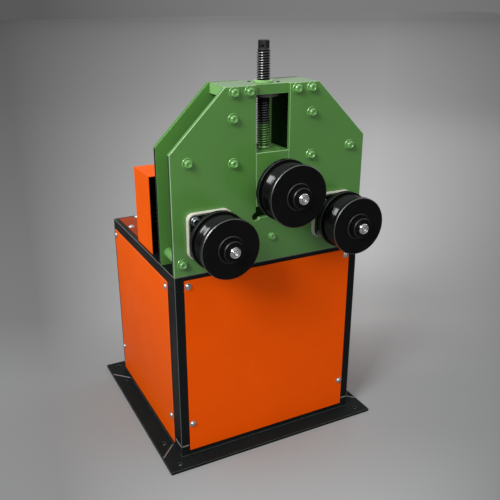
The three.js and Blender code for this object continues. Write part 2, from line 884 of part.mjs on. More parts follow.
// Gearmotor on its shelf, with the pinion on the output shaft
function makeGearmotor() {
  const gearboxFront = shelfFront + gearboxSetback;
  const gearboxBack = gearboxFront + gearboxLength;
  const motorFront = gearboxBack + seatGap;
  const motorBack = standDepth - motorRearRoom;
  const phase = meshPhase(driveTeeth, 0, -Math.PI / 2, pinionTeeth);
  const wheel = upright(gearShape(pinionTeeth, phase), gearFront, gearBack)
    .translate([0, 0, motorAxisZ]);
  const shaftEnd = gearboxFront + pinionShaftGrip;
  const pinionShaft = rodY(pinionShaftRadius, gearBack - past, shaftEnd, 0, motorAxisZ);
  add("motor_pinion", join([wheel, pinionShaft]), "darkSteel");
  const shelfBack = standDepth - angleLeg - seatGap;
  const shelfBottom = shelfTop - shelfThick;
  const boltY = [gearboxFront + footBoltInset, gearboxBack - footBoltInset];
  const boltPlaces = [-footBoltSpread, footBoltSpread].flatMap((x) => boltY.map((y) => [x, y]));
  const footTop = shelfTop + seatGap + footThick;
  const footHoles = boltPlaces.map(([x, y]) =>
    rodZ(footBoltRadius + boltPlay, shelfBottom - past, footTop + past, x, y, smallSides)
  );
  const reach = half - angleWall - seatGap;
  const deck = box(-reach, reach, shelfFront, shelfBack, shelfBottom, shelfTop);
  const lips = sides.map(({ sign }) => {
    const [near, far] = [sign * (reach - shelfThick), sign * reach].sort((a, b) => a - b);
    return box(near, far, shelfFront, standDepth - angleWall - seatGap, shelfTop - shelfLip, shelfTop);
  });
  add("motor_shelf", cut(join([deck, ...lips]), footHoles), "black");
  const foot = box(-footWidth / 2, footWidth / 2, gearboxFront, gearboxBack, shelfTop + seatGap, footTop);
  const neckHalf = gearboxNeck / 2;
  const neck = box(-neckHalf, neckHalf, gearboxFront, gearboxBack, footTop - past, motorAxisZ);
  const drum = turnedY(
    [
      [0, gearboxFront - gearboxBossRise],
      [gearboxBossRadius, gearboxFront - gearboxBossRise],
      [gearboxBossRadius, gearboxFront],
      [gearboxRadius, gearboxFront],
      [gearboxRadius, gearboxBack],
      [0, gearboxBack],
    ],
    0,
    motorAxisZ
  );
  const outputBore = rodY(pinionShaftRadius + runGap, gearboxFront - gearboxBossRise - past,
    shaftEnd + past, 0, motorAxisZ);
  add("gearbox", cut(join([foot, neck, drum]), [outputBore, ...footHoles]), "motorBlue");
  const cowlFront = motorBack - fanCowlLength;
  const frame = rodY(motorRadius - motorFinHeight, motorFront, cowlFront + past, 0, motorAxisZ);
  const cowl = turnedY(
    [
      [0, cowlFront],
      [motorRadius + cowlStep, cowlFront],
      [motorRadius + cowlStep, motorBack - motorFinHeight],
      [motorRadius - motorFinHeight, motorBack],
      [0, motorBack],
    ],
    0,
    motorAxisZ
  );
  const fins = [];
  for (let index = 0; index < motorFinCount; index += 1) {
    const fin = box(-motorFinThick / 2, motorFinThick / 2, motorFront + motorFinHeight, cowlFront + past,
      motorRadius - 2 * motorFinHeight, motorRadius);
    fins.push(fin.rotate([0, (index * 360) / motorFinCount, 0]).translate([0, 0, motorAxisZ]));
  }
  const terminalBox = box(motorRadius - 2 * motorFinHeight, motorRadius + terminalBoxRise,
    motorFront + terminalBoxInset, cowlFront - terminalBoxInset,
    motorAxisZ - terminalBoxWidth / 2, motorAxisZ + terminalBoxWidth / 2);
  add("motor", join([frame, cowl, ...fins, terminalBox]), "motorBlue");
}

// Folded sheet guard over the gears, open towards the plates and below
function makeGuard() {
  const foot = standHeight + seatGap;
  const top = foot + guardHeight;
  const back = guardFront + guardDepth;
  const outside = box(-guardHalfWidth, guardHalfWidth, guardFront, back, foot, top);
  const inner = guardHalfWidth - sheetThick;
  const inside = box(-inner, inner, guardFront - past, back - sheetThick, foot - past, top - sheetThick);
  const feet = sides.map(({ sign }) => {
    const [near, far] = [sign * (inner + past), sign * (inner - guardFoot)].sort((a, b) => a - b);
    return box(near, far, guardFront, back, foot, foot + sheetThick);
  });
  add("gear_guard", join([outside.subtract(inside), ...feet]), "orange");
}

// Shouldered block that slides in both plates' slots and holds the top roller's shaft
function makeCarriage() {
  const carriage = new THREE.Group();
  machine.add(carriage);
  const core = box(-carriageHalf, carriageHalf, 0, rearPlateBack, carriageBottom, carriageTop);
  const shoulder = carriageHalf + carriageShoulder;
  const waist = box(-shoulder, shoulder, plateThick + runGap, rearPlateFront - runGap, carriageBottom,
    carriageTop - carriageShoulderInset);
  const bushOuter = shaftRadius + runGap + bushWall;
  const tunnel = rodY(bushOuter + boltPlay, -past, rearPlateBack + past, 0, topAxisZ);
  const keeperFoot = carriageTop - keeperThick - seatGap;
  const footBottom = keeperFoot - screwFootLength;
  const pocketHalf = keeperSquare / 2 + boltPlay;
  const pocket = box(-pocketHalf, pocketHalf, headMiddle - pocketHalf, headMiddle + pocketHalf,
    keeperFoot, carriageTop + past);
  const footHole = rodZ(screwRadius + runGap, footBottom - runGap, keeperFoot + past, 0, headMiddle);
  add("carriage_block", cut(core.add(waist), [tunnel, pocket, footHole]), "green", carriage);
  const bush = rodY(bushOuter, runGap, rearPlateBack - runGap, 0, topAxisZ).subtract(
    rodY(shaftRadius + runGap, 0, rearPlateBack, 0, topAxisZ)
  );
  add("carriage_bush", bush, "bronze", carriage);
  const keeperHalf = keeperSquare / 2;
  const forkHalf = screwGrooveRadius + runGap;
  const fork = rodZ(forkHalf, keeperFoot, carriageTop + past, 0, headMiddle).add(
    box(-forkHalf, forkHalf, headMiddle, headMiddle + keeperSquare, keeperFoot, carriageTop + past)
  );
  const keeper = box(-keeperHalf, keeperHalf, headMiddle - keeperHalf, headMiddle + keeperHalf,
    keeperFoot + seatGap, carriageTop);
  add("screw_keeper", keeper.subtract(fork), "green", carriage);
  const collarBack = -runGap;
  const rear = rearPlateBack + topShaftTail;
  const shaft = shaftBody(0, topAxisZ, topCollarRadius, collarBack, rear);
  const lockRing = rodY(topCollarRadius, rearPlateBack + runGap, rear - lockRingInset, 0, topAxisZ);
  add("top_shaft", join([shaft, lockRing]), "steel", carriage);
  add("top_roller", rollerBody(0, topAxisZ, topRollerRadius), "gloss", carriage);
  add("top_roller_nut", rollerNut(0, topAxisZ), "gloss", carriage);
  const grooveTop = carriageTop + seatGap;
  const grooveFoot = keeperFoot - seatGap;
  const neck = screwTop - screwTopLength;
  const screw = turnedZ(
    [
      [0, footBottom],
      [screwRadius, footBottom],
      [screwRadius, grooveFoot],
      [screwGrooveRadius, grooveFoot],
      [screwGrooveRadius, grooveTop],
      [screwRadius, grooveTop],
      [screwRadius, neck - rollerChamfer],
      [screwTopRadius, neck],
      [screwTopRadius, screwTop - rollerChamfer],
      [screwTopRadius - rollerChamfer, screwTop],
      [0, screwTop],
    ],
    0,
    headMiddle
  );
  const crossHoleZ = screwTop - screwTopLength / 2;
  const crossHole = rodX(crossHoleRadius, -screwRadius, screwRadius, headMiddle, crossHoleZ);
  add("lead_screw", screw.subtract(crossHole), "darkSteel", carriage);
}

makeBase();
makePosts();
makeTopFrame();
makePanels();
makeHeadPlates();
makeCrossbar();
makeTies();
makeBearings();
makeLowerShafts();
makeDrive();
makeGearmotor();
makeGuard();
makeCarriage();

export default machine;
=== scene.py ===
"""Looks of the three-roll bender: smooth pieces, fasteners, thread, paints, light and camera."""

import math

import bmesh
import bpy
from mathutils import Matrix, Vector


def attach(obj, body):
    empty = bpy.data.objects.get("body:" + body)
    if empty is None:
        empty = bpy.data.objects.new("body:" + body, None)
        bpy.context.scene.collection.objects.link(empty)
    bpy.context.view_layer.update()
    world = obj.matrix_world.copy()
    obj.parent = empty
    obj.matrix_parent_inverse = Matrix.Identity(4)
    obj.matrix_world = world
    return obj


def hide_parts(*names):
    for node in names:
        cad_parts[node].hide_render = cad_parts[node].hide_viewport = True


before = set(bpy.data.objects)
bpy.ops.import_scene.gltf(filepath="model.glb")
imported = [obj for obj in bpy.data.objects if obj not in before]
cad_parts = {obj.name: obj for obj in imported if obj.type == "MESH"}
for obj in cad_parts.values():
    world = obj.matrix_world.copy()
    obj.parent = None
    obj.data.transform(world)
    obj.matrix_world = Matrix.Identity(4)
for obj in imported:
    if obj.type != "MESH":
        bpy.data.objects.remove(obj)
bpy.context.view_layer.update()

MM = 0.001
SHIFT_Y = -207.1
SIDES = (("left", -1), ("right", 1))


def at(x, y, z):
    """Place in the row frame of a point in millimetres from the stand's front face."""
    return Vector((x, y + SHIFT_Y, z)) * MM


# Materials


class Paint:
    """A principled material with helpers that add noise to its colour, gloss and surface."""

    def __init__(self, name, base, roughness, metallic=0.0, coat=0.0):
        self.material = bpy.data.materials.new(name)
        self.material.use_nodes = True
        self.nodes = self.material.node_tree.nodes
        self.links = self.material.node_tree.links
        self.shader = self.nodes["Principled BSDF"]
        self.shader.inputs["Base Color"].default_value = (*base, 1)
        self.shader.inputs["Roughness"].default_value = roughness
        self.shader.inputs["Metallic"].default_value = metallic
        self.shader.inputs["Coat Weight"].default_value = coat
        self.shader.inputs["Coat Roughness"].default_value = 0.15
        self.base = base
        self.where = self.nodes.new("ShaderNodeTexCoord").outputs["Object"]
        self.colour = None
        self.relief = None

    def noise(self, scale, detail=4.0, stretch=None, rough=0.55):
        source = self.where
        if stretch:
            mapping = self.nodes.new("ShaderNodeMapping")
            mapping.inputs["Scale"].default_value = stretch
            self.links.new(source, mapping.inputs["Vector"])
            source = mapping.outputs["Vector"]
        node = self.nodes.new("ShaderNodeTexNoise")
        node.inputs["Scale"].default_value = scale
        node.inputs["Detail"].default_value = detail
        node.inputs["Roughness"].default_value = rough
        self.links.new(source, node.inputs["Vector"])
        return node.outputs["Fac"]

    def ramp(self, value, low, high, start=0.0, end=1.0):
        node = self.nodes.new("ShaderNodeMapRange")
        node.inputs["From Min"].default_value = low
        node.inputs["From Max"].default_value = high
        node.inputs["To Min"].default_value = start
        node.inputs["To Max"].default_value = end
        self.links.new(value, node.inputs["Value"])
        return node.outputs["Result"]

    def times(self, first, second):
        node = self.nodes.new("ShaderNodeMath")
        node.operation = "MULTIPLY"
        self.links.new(first, node.inputs[0])
        self.links.new(second, node.inputs[1])
        return node.outputs["Value"]

    def within(self, low, high, soft=0.3):
        """Mask of a box in millimetres of the stand's frame, None where a side is open."""
        split = self.nodes.new("ShaderNodeSeparateXYZ")
        self.links.new(self.where, split.inputs["Vector"])
        mask = None
        for axis, shift in enumerate((0, SHIFT_Y, 0)):
            for bound, way in ((low[axis], 1), (high[axis], -1)):
                if bound is None:
                    continue
                place = bound + shift
                edge = self.ramp(split.outputs[axis], (place - way * soft) * MM, (place + way * soft) * MM)
                mask = self.times(mask, edge) if mask else edge
        return mask

    def tint(self, mask, colour):
        """Mixes a colour over what is there, where the mask is high."""
        mix = self.nodes.new("ShaderNodeMix")
        mix.data_type = "RGBA"
        mix.inputs["A"].default_value = (*self.base, 1)
        mix.inputs["B"].default_value = (*colour, 1)
        if self.colour:
            self.links.new(self.colour, mix.inputs["A"])
        self.links.new(mask, mix.inputs["Factor"])
        self.colour = mix.outputs["Result"]
        self.links.new(self.colour, self.shader.inputs["Base Color"])

    def gloss(self, value, low, high, start, end):
        self.links.new(self.ramp(value, low, high, start, end), self.shader.inputs["Roughness"])

    def mirror(self, level):
        self.shader.inputs["Specular IOR Level"].default_value = level

    def lean(self, axis, low, high):
        """Turning marks too fine to model: their flanks lean along the axis, here more and there less."""
        marks = self.noise(14.0, 3.0, (0.6, 9, 0.6))
        out = self.nodes.new("ShaderNodeCombineXYZ")
        self.links.new(self.ramp(marks, 0.3, 0.7, low, high), out.inputs[axis])
        total = self.nodes.new("ShaderNodeVectorMath")
        total.operation = "ADD"
        self.links.new(self.nodes.new("ShaderNodeNewGeometry").outputs["Normal"], total.inputs[0])
        self.links.new(out.outputs["Vector"], total.inputs[1])
        unit = self.nodes.new("ShaderNodeVectorMath")
        unit.operation = "NORMALIZE"
        self.links.new(total.outputs["Vector"], unit.inputs[0])
        self.links.new(unit.outputs["Vector"], self.shader.inputs["Normal"])

    def bump(self, value, height):
        node = self.nodes.new("ShaderNodeBump")
        node.inputs["Distance"].default_value = height * MM
        node.inputs["Strength"].default_value = 1.0
        self.links.new(value, node.inputs["Height"])
        if self.relief:
            self.links.new(self.relief, node.inputs["Normal"])
        self.relief = node.outputs["Normal"]
        self.links.new(self.relief, self.shader.inputs["Normal"])


def enamel(name, base, roughness, coat=0.0, peel=0.05, shade=0.82, dirt=None, mirror=0.5):
    """Sprayed or brushed paint: cloudy tone, orange peel and a little dirt."""
    paint = Paint(name, base, roughness, coat=coat)
    paint.mirror(mirror)
    cloud = paint.noise(6.0, 5.0)
    paint.tint(paint.ramp(cloud, 0.35, 0.7), tuple(part * shade for part in base))
    if dirt:
        speck = paint.noise(160.0, 6.0, rough=0.7)
        paint.tint(paint.ramp(speck, 0.6, 0.78, 0.0, dirt[1]), dirt[0])
    paint.gloss(cloud, 0.3, 0.7, roughness * 0.85, roughness * 1.2)
    paint.bump(paint.noise(420.0, 2.0), peel)
    paint.bump(paint.noise(38.0, 2.0), peel * 4)
    return paint


def turned(name, base, roughness, metallic=1.0, stretch=(1, 60, 1), groove=0.03, mirror=0.5):
    """Machined metal with fine marks across the given axis and a slightly uneven gloss."""
    paint = Paint(name, base, roughness, metallic=metallic)
    paint.mirror(mirror)
    marks = paint.noise(22.0, 3.0, stretch)
    cloud = paint.noise(18.0, 4.0)
    paint.tint(paint.ramp(cloud, 0.4, 0.75), tuple(part * 0.7 for part in base))
    paint.gloss(marks, 0.3, 0.7, roughness * 0.75, roughness * 1.3)
    paint.bump(marks, groove)
    return paint


GREEN_BASE = (0.072, 0.205, 0.04)
GREEN_DIRT = ((0.03, 0.085, 0.02), 0.35)
ORANGE_BASE = (0.74, 0.076, 0.0)
WARM_ORANGE = (0.74, 0.09, 0.0)
SLOT_PAINTED_SHADE = (0.001, 0.003, 0.001)
GUARD_INSIDE_PAINTED_SHADE = (0.003, 0.003, 0.003)
CUT_EDGE = (0.006, 0.014, 0.005)
CROSSBAR_END_PAINTED_HIGHLIGHT = (0.19, 0.42, 0.13)
NUT_BOSS_PAINTED_SHEEN = (0.2, 0.4, 0.13)
NUT_FLANGE = (0.03, 0.03, 0.03)
LOW_PAINTED_SHADE_ORANGE = (0.57, 0.068, 0.0)


def green(name):
    return enamel(name, GREEN_BASE, 0.32, coat=0.4, dirt=GREEN_DIRT, shade=0.88)


def orange(name, base=ORANGE_BASE):
    return enamel(name, base, 0.45, shade=0.94, mirror=0.05)


GREEN = green("green_enamel")
ORANGE = orange("orange_paint")
FRAME_DIRT = ((0.05, 0.062, 0.062), 0.35)
FLANGE_DIRT = ((0.09, 0.097, 0.097), 0.5)
BLACK = enamel("black_frame_paint", (0.004, 0.006, 0.006), 0.4, dirt=FRAME_DIRT, mirror=0.1)
FLANGE = enamel("black_flange_paint", (0.008, 0.0095, 0.0095), 0.5, dirt=FLANGE_DIRT, mirror=0.03)
CASTING = enamel("black_casting_paint", (0.005, 0.005, 0.0055), 0.2, peel=0.12, mirror=0.6)
CASTING.bump(CASTING.noise(34.0, 1.0), 5.0)
CREAM = enamel("cream_paint", (0.6, 0.58, 0.5), 0.45, dirt=((0.12, 0.11, 0.09), 0.8))
GREY = enamel("motor_paint", (0.05, 0.075, 0.1), 0.5, peel=0.1)
ROLLER = turned("black_roller", (0.003, 0.003, 0.0033), 0.3, metallic=0.0, mirror=0.3)
DRUM = Paint("turned_black_drum", (0.003, 0.003, 0.0033), 0.12)
DRUM.mirror(0.2)
DRUM.lean("Y", -0.6, -0.95)
FACE = turned("black_roller_face", (0.003, 0.003, 0.0032), 0.3, metallic=0.0, mirror=0.09)
WORN = turned("worn_edge", (0.13, 0.135, 0.14), 0.35)
BOLT = enamel("bolt_enamel", (0.125, 0.32, 0.08), 0.27, coat=0.7, shade=0.8)
# Lighter paints for bevels and beads: partly wear, partly painted highlight
GREEN_WEAR_AND_HIGHLIGHT = enamel("green_edge_wear_and_painted_highlight", (0.23, 0.41, 0.18), 0.3, coat=0.5)
BARE_AND_HIGHLIGHT = enamel("bare_steel_and_painted_highlight", (0.11, 0.11, 0.105), 0.3, dirt=((0.01, 0.01, 0.01), 0.8))
ORANGE_WEAR_AND_HIGHLIGHT = enamel("orange_edge_wear_and_painted_highlight", (0.85, 0.3, 0.12), 0.35)
STEEL = turned("turned_steel", (0.62, 0.62, 0.63), 0.2)
DARK = turned("oiled_steel", (0.06, 0.06, 0.062), 0.36)
DULL = turned("bearing_bolt_steel", (0.25, 0.27, 0.3), 0.35, stretch=(1, 1, 1))
ZINC = turned("zinc_screw", (0.62, 0.62, 0.6), 0.32, stretch=(1, 1, 1))
BRONZE = turned("bush_bronze", (0.42, 0.24, 0.09), 0.35)

# The rear plate is painted near black beside its slot, where the slide and the screw work: painted shade
# between the plates
SHADED_REAR_GREEN = enamel("rear_green_enamel_with_painted_shade", GREEN_BASE, 0.4, dirt=GREEN_DIRT, shade=0.88, mirror=0.08)
SHADED_REAR_GREEN.tint(SHADED_REAR_GREEN.within((40, 90, 822), (150, 96, 1010), 2.5), SLOT_PAINTED_SHADE)
SHADED_REAR_GREEN.tint(SHADED_REAR_GREEN.within((-75, 90, 822), (-40, 96, 1010), 2.5), SLOT_PAINTED_SHADE)

# The plates' upright sides are dark from the cut
for paint in (GREEN, SHADED_REAR_GREEN):
    for low, high in ((None, -274.3), (274.3, None)):
        paint.tint(paint.within((low, None, None), (high, None, 858)), CUT_EDGE)

# A dark strip along the rear edge over the slot, right of the screw
SHADED_REAR_GREEN.tint(SHADED_REAR_GREEN.within((10, 99, 1003), (122, None, None), 1.5), CUT_EDGE)
CROSSBAR = green("crossbar_enamel")
# The crossbar's ends are painted a lighter green: a painted highlight
for low, high in ((None, -127.6), (127.6, None)):
    CROSSBAR.tint(CROSSBAR.within((low, 13, 980), (high, 93, 1004)), CROSSBAR_END_PAINTED_HIGHLIGHT)

# The left panel is painted darker towards the floor: painted shade
LEFT = orange("left_panel_paint", WARM_ORANGE)
LEFT.tint(LEFT.within((None, None, None), (None, None, 330), 190), LOW_PAINTED_SHADE_ORANGE)

# The cover sheet's dark orange is painted shade; its specks are oil stains
COVER_DIRT = ((0.05, 0.012, 0.004), 0.7)
SHADED_COVER = enamel("cover_paint_with_painted_shade", (0.26, 0.032, 0.004), 0.42, dirt=COVER_DIRT, mirror=0.06)

# The guard is painted black inside: painted shade in its hollow
GUARD = orange("guard_paint", WARM_ORANGE)
GUARD.tint(GUARD.within((-267.2, None, None), (267.2, 295.7, 765)), GUARD_INSIDE_PAINTED_SHADE)

# The lead nut's flange under the crossbar is bare dark steel; its boss above is a lighter green, a painted
# sheen
NUT = green("lead_nut_enamel")
NUT.tint(NUT.within((None, None, 1004), (None, None, None)), NUT_BOSS_PAINTED_SHEEN)
NUT.tint(NUT.within((None, None, None), (None, None, 979)), NUT_FLANGE)

# The screw is painted over where it enters the slide
SPRAYED = Paint("sprayed_thread", (0.09, 0.09, 0.09), 0.27, metallic=1.0)
SPRAYED.lean("Z", 0.37, 0.47)
# The thread's roots and flanks are near black: oil and painted shade in its grooves
THREAD_ROOT_OIL_AND_SHADE = Paint("thread_root_oil_and_painted_shade", (0.004, 0.004, 0.004), 0.5)
THREAD_ROOT_OIL_AND_SHADE.mirror(0.1)
for paint, tone in ((SPRAYED, (0.18, 0.36, 0.13)), (THREAD_ROOT_OIL_AND_SHADE, (0.04, 0.11, 0.025))):
    paint.tint(paint.within((None, None, None), (None, None, 904), 4), tone)

# Carried-over nodes: paint and a small edge radius

NODE_LOOKS = (
    (GREEN, 1.8, "front_head_plate"),
    (GREEN, 1.2, "screw_keeper"),
    (CROSSBAR, 1.2, "crossbar"),
    (GREEN, 1.6, "carriage_block"),
    (SHADED_REAR_GREEN, 0.9, "rear_head_plate"),
    (NUT, 0.4, "lead_nut"),
    (ORANGE, 0.6, "front_panel rear_panel right_panel"),
    (SHADED_COVER, 0.6, "top_cover"),
    (LEFT, 0.6, "left_panel"),
    (GUARD, 0.6, "gear_guard"),
    (FLANGE, 1.2, "base_rail_front base_rail_rear base_rail_left base_rail_right"),
    (BLACK, 1.2, "post_front_left post_front_right post_rear_left post_rear_right top_rail_front "
     "top_rail_rear top_rail_left top_rail_right head_support_bar guard_support_bar motor_shelf"),
    (CREAM, 1.0, "left_bearing_pad right_bearing_pad"),
    (CASTING, 3.0, "left_front_bearing right_front_bearing left_rear_bearing right_rear_bearing"),
    (GREY, 1.0, "motor gearbox"),
    (DARK, 0.3, "left_gear right_gear drive_gear motor_pinion"),
    (STEEL, 0.4, "left_shaft right_shaft top_shaft gear_axle"),
    (BRONZE, 0.2, "gear_bush carriage_bush"),
    (GREEN, 0.5, "foot_tie_left foot_tie_right shoulder_tie_left shoulder_tie_right "
     "slot_tie_left slot_tie_right upper_tie_left upper_tie_right"),
    (ROLLER, 0.5, "left_roller right_roller top_roller left_roller_nut right_roller_nut top_roller_nut"),
    (DARK, 0.3, "lead_screw"),
)

# Bevels take a lighter edge paint: partly wear, partly painted highlight
EDGE_WEAR_AND_HIGHLIGHT = {
    GREEN: GREEN_WEAR_AND_HIGHLIGHT, SHADED_REAR_GREEN: GREEN_WEAR_AND_HIGHLIGHT, CROSSBAR: GREEN_WEAR_AND_HIGHLIGHT, BLACK: BARE_AND_HIGHLIGHT, FLANGE: BARE_AND_HIGHLIGHT, LEFT: ORANGE_WEAR_AND_HIGHLIGHT, GUARD: ORANGE_WEAR_AND_HIGHLIGHT,
}

for paint, radius, names in NODE_LOOKS:
    for name in names.split():
        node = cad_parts[name]
        node.data.materials.clear()
        node.data.materials.append(paint.material)
        weld = node.modifiers.new("join", "WELD")
        weld.merge_threshold = 0.01 * MM
        bevel = node.modifiers.new("edge", "BEVEL")
        bevel.width = radius * MM
        bevel.segments = 2
        bevel.limit_method = "ANGLE"
        if paint in EDGE_WEAR_AND_HIGHLIGHT:
            node.data.materials.append(EDGE_WEAR_AND_HIGHLIGHT[paint].material)
            bevel.material = 1
        bevel.angle_limit = math.radians(40)
        bevel.harden_normals = True

# Mesh helpers


def piece(name, mesh, paint, body, angle=35.0, others=()):
    """Links a mesh as a piece in the row frame, smooth up to the given angle, riding on a body.

    Each of the others is a paint with a test of a face's middle and normal."""
    mesh.materials.append(paint.material)
    for other, _ in others:
        mesh.materials.append(other.material)
    for face in mesh.polygons:
        face.use_smooth = True
        for slot, (_, takes) in enumerate(others, 1):
            if takes(face.center / MM, face.normal):
                face.material_index = slot
    mesh.set_sharp_from_angle(angle=math.radians(angle))
    thing = bpy.data.objects.new(name, mesh)
    bpy.context.scene.collection.objects.link(thing)
    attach(thing, body)
    return thing


class Shape:
    """Collects faces in millimetres of the stand's frame and gives them back as one mesh."""

    def __init__(self):
        self.points = []
        self.faces = []

    def add(self, points, faces):
        start = len(self.points)
        self.points += [tuple(at(*point)) for point in points]
        self.faces += [tuple(start + index for index in face) for face in faces]

    def mesh(self, name):
        mesh = bpy.data.meshes.new(name)
        mesh.from_pydata(self.points, [], self.faces)
        work = bmesh.new()
        work.from_mesh(mesh)
        bmesh.ops.remove_doubles(work, verts=work.verts, dist=1e-6)
        bmesh.ops.recalc_face_normals(work, faces=work.faces)
        work.to_mesh(mesh)
        work.free()
        return mesh


def frame_of(direction):
    """Two directions square to the given one, for laying out rings round it."""
    along = Vector(direction).normalized()
    side = Vector((1, 0, 0)) if abs(along.x) < 0.5 else Vector((0, 1, 0))
    across = along.cross(side).normalized()
    return along, across, along.cross(across)


def rings(shape, place, direction, profile, count, radius_at=None):
    """Turned form: the profile's points are (radius, distance along the direction)."""
    along, across, other = frame_of(direction)
    points = []
    for radius, reach in profile:
        for index in range(count):
            angle = 2 * math.pi * index / count
            far = radius_at(radius, angle) if radius_at else radius
            offset = across * math.cos(angle) * far + other * math.sin(angle) * far
            points.append(Vector(place) + along * reach + offset)
    faces = []
    for ring in range(len(profile) - 1):
        for index in range(count):
            step = (index + 1) % count
            low = ring * count
            faces.append((low + index, low + step, low + count + step, low + count + index))
    shape.add(points, faces)


def rounded(profile, radius, steps=4):
    """The profile with each marked corner, (r, s, True), turned into a small arc."""
    result = []
    for index, point in enumerate(profile):
        if len(point) < 3:
            result.append(point[:2])
            continue
        here = Vector(point[:2])
        back = (Vector(profile[index - 1][:2]) - here).normalized()
        on = (Vector(profile[index + 1][:2]) - here).normalized()
        half = math.acos(max(-1, min(1, back.dot(on)))) / 2
        reach = radius / math.tan(half)
        middle = here + (back + on).normalized() * (radius / math.sin(half))
        first = here + back * reach - middle
        last = here + on * reach - middle
        for step in range(steps + 1):
            blend = first.lerp(last, step / steps).normalized() * radius
            result.append(tuple(middle + blend))
    return result


def hex_radius(flats):
    """Radius of a hexagon of that width across flats, by angle."""

    def radius_at(radius, angle):
        turn = (angle % (math.pi / 3)) - math.pi / 6
        return min(radius, flats / 2 / math.cos(turn))

    return radius_at


def hex_head(shape, place, direction, flats, height, washer=0.0, washer_thick=2.5):
    """Chamfered hexagon head standing on a washer; place is on the seat, direction points out."""
    foot = washer_thick if washer else 0.0
    if washer:
        rim = [(0.5, 0), (washer, 0), (washer, foot - 1.3), (washer - 1, foot), (washer - 1.7, foot),
               (washer - 2.6, 0.6), (0.5, 0.6)]
        rings(shape, place, direction, rim, 24)
    corner = flats / math.sqrt(3)
    flat = flats / 2
    top = foot + height
    profile = [(corner, 0.3), (corner, top - 3.2), (flat * 1.04, top - 2.4), (flat * 0.96, top - 1.4),
               (flat * 0.86, top - 0.4), (flat * 0.76, top), (flat * 0.6, top), (flat * 0.5, top - 1.4),
               (0.2, top - 2.2)]
    rings(shape, place, direction, profile, 36, hex_radius(flats))


# Fasteners

TIES = [("foot", 252, 583.3), ("shoulder", 230, 835.8), ("slot", 110, 822.3), ("upper", 110, 930.3)]
CROSSBAR_BOLTS = [(66, 991.3), (107, 991.3)]
LOWER_AXIS = (180, 655.3)
TOP_AXIS_Z = 758.3
DRIVE_AXIS_Z = 617.15
PLATE_THICK = 12
PLATE_REAR = 106
BEARING_SPREAD = 44
FRONT_BEARING_FACE = -24.9
REAR_BEARING_FACE = 116.3

FRONT = (0, -1, 0)
REAR = (0, 1, 0)
UP = (0, 0, 1)
DOWN = (0, 0, -1)
LIFT = 0.1
BOLT_FLATS = 19
BOLT_HEAD = 9
WASHER = 14.3
TIE_NUT = 10
TUBE_BORE = 7
TUBE_RADIUS = 13.4
TUBE_LENGTH = 81.6
BEARING_HEAD = 8
BEARING_WASHER = 12
SMALL_FLATS = 17
SMALL_HEAD = 6.5
SMALL_WASHER = 10.5
SMALL_WASHER_THICK = 2

# Ties: head and washer in front, spacer tube between the plates, washer and nut behind
tube = [(TUBE_BORE, 0), (TUBE_RADIUS, 0), (TUBE_RADIUS, TUBE_LENGTH), (TUBE_BORE, TUBE_LENGTH)]
for name, x, z in TIES:
    for word, sign in SIDES:
        tie = Shape()
        hex_head(tie, (sign * x, -LIFT, z), FRONT, BOLT_FLATS, BOLT_HEAD, WASHER)
        rings(tie, (sign * x, PLATE_THICK + 0.2, z), REAR, tube, 32)
        hex_head(tie, (sign * x, PLATE_REAR + LIFT, z), REAR, BOLT_FLATS, TIE_NUT, WASHER)
        rings(tie, (sign * x, PLATE_REAR + 11, z), REAR, [(6, 0), (6, 4.2), (5.2, 5), (0.2, 5)], 16)
        tie_piece = piece(f"{name}_tie_{word}_smooth", tie.mesh(f"{name}_tie_{word}"), BOLT, "stand")
        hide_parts(f"{name}_tie_{word}")

green_bolts = Shape()
for x, z in CROSSBAR_BOLTS:
    for sign in (-1, 1):
        hex_head(green_bolts, (sign * x, -LIFT, z), FRONT, BOLT_FLATS, BOLT_HEAD, WASHER)
        hex_head(green_bolts, (sign * x, PLATE_REAR + LIFT, z), REAR, BOLT_FLATS, BOLT_HEAD, WASHER)
axle_bolt = (0, -LIFT, DRIVE_AXIS_Z)
hex_head(green_bolts, axle_bolt, FRONT, SMALL_FLATS, SMALL_HEAD, SMALL_WASHER, SMALL_WASHER_THICK)
piece("head_bolts", green_bolts.mesh("head_bolts"), BOLT, "stand")

# Dead axle of the idler gear, with its collar and end washer
AXLE_START = 12.3
AXLE_END = 224.4
axle = Shape()
rings(axle, (0, AXLE_START, DRIVE_AXIS_Z), REAR,
      rounded([(0.2, 0), (17.5, 0), (17.5, 94), (24, 94, True), (24, 124, True), (17.5, 124), (17.5, 209.7),
               (24, 209.7), (24, 211.5), (23.4, 212.1), (0.2, 212.1)], 0.8), 48)
hex_head(axle, (0, AXLE_END, DRIVE_AXIS_Z), REAR, SMALL_FLATS, SMALL_HEAD)
axle_piece = piece("gear_axle_smooth", axle.mesh("gear_axle"), STEEL, "stand")
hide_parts("gear_axle")

bearing_bolts = Shape()
for _, side in SIDES:
    for across in (-1, 1):
        for up in (-1, 1):
            x = side * LOWER_AXIS[0] + across * BEARING_SPREAD
            z = LOWER_AXIS[1] + up * BEARING_SPREAD
            for face, out in ((FRONT_BEARING_FACE, FRONT), (REAR_BEARING_FACE, REAR)):
                hex_head(bearing_bolts, (x, face, z), out, BOLT_FLATS, BEARING_HEAD, BEARING_WASHER)
piece("bearing_bolts", bearing_bolts.mesh("bearing_bolts"), DULL, "stand")

